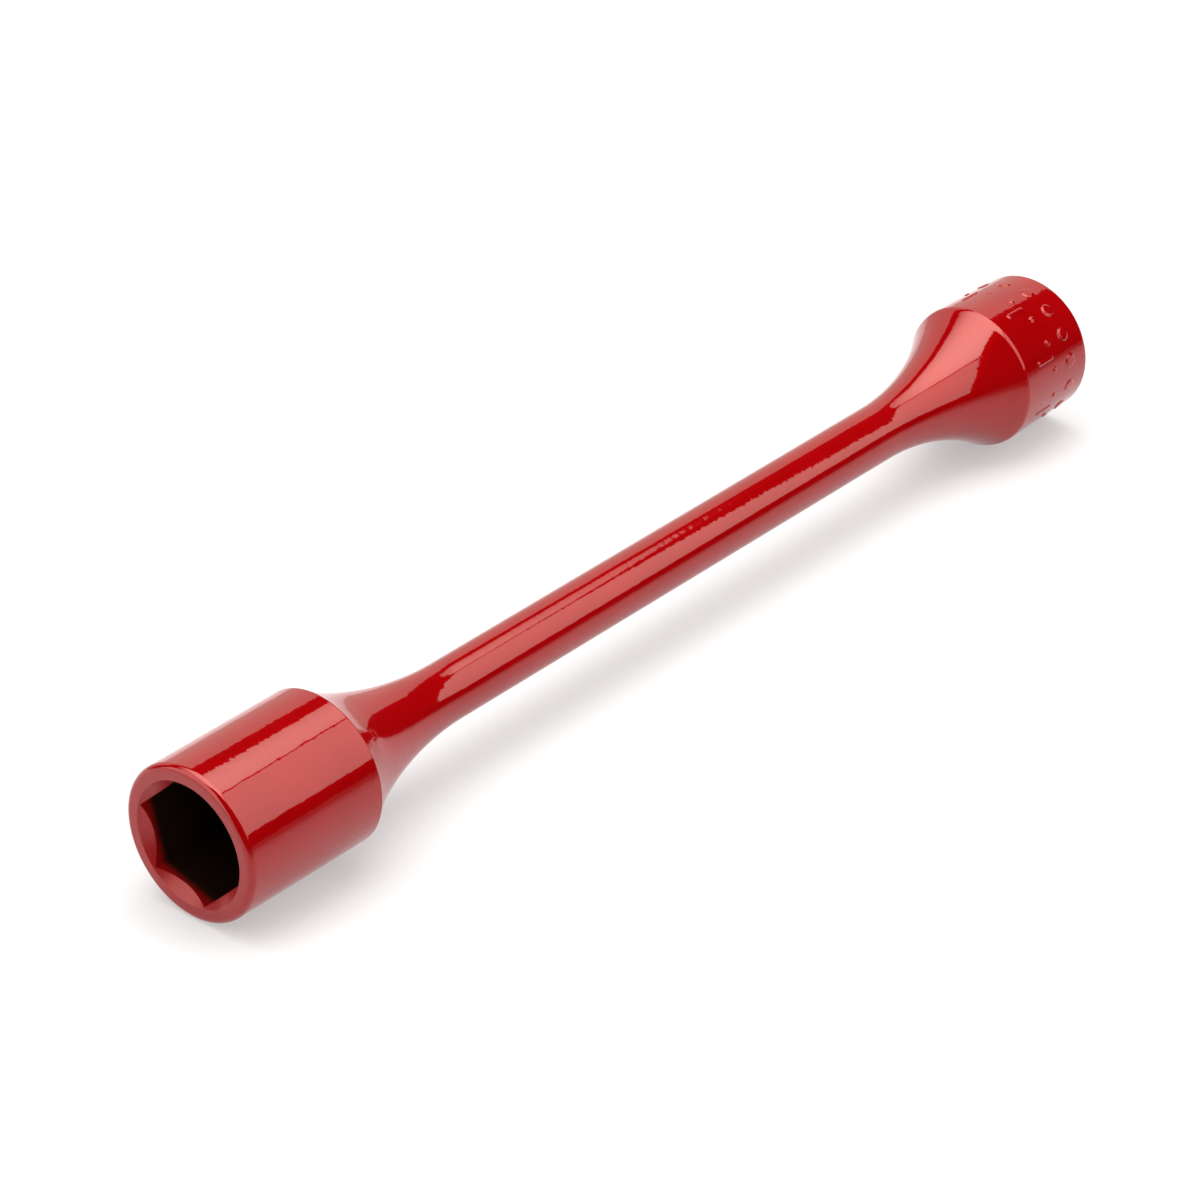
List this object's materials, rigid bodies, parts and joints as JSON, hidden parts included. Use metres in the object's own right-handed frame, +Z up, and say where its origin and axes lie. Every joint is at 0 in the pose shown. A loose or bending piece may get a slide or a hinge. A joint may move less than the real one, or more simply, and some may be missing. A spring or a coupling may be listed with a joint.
{
  "type": "torque-limiting socket extension",
  "caption": "Slender red enamelled torsion bar with a hex socket head at one end and a female square drive head at the other.",
  "frame": {"origin": "middle of the footprint, on the surface that the tool lies on", "axes": "+X along the tool's axis from the mouth of the hex socket to the drive end, +Z up from the surface it lies on"},
  "size_m": [0.2032, 0.0254, 0.0254],
  "materials": {
    "enamelled_head": "glossy red enamel on alloy steel",
    "enamelled_bar": "glossy red enamel on alloy steel",
    "enamelled_drive": "glossy red enamel on alloy steel"
  },
  "bodies": {
    "root": {"socket_head": "enamelled_head", "torsion_bar": "enamelled_bar", "drive_head": "enamelled_drive"}
  },
  "joints": []
}
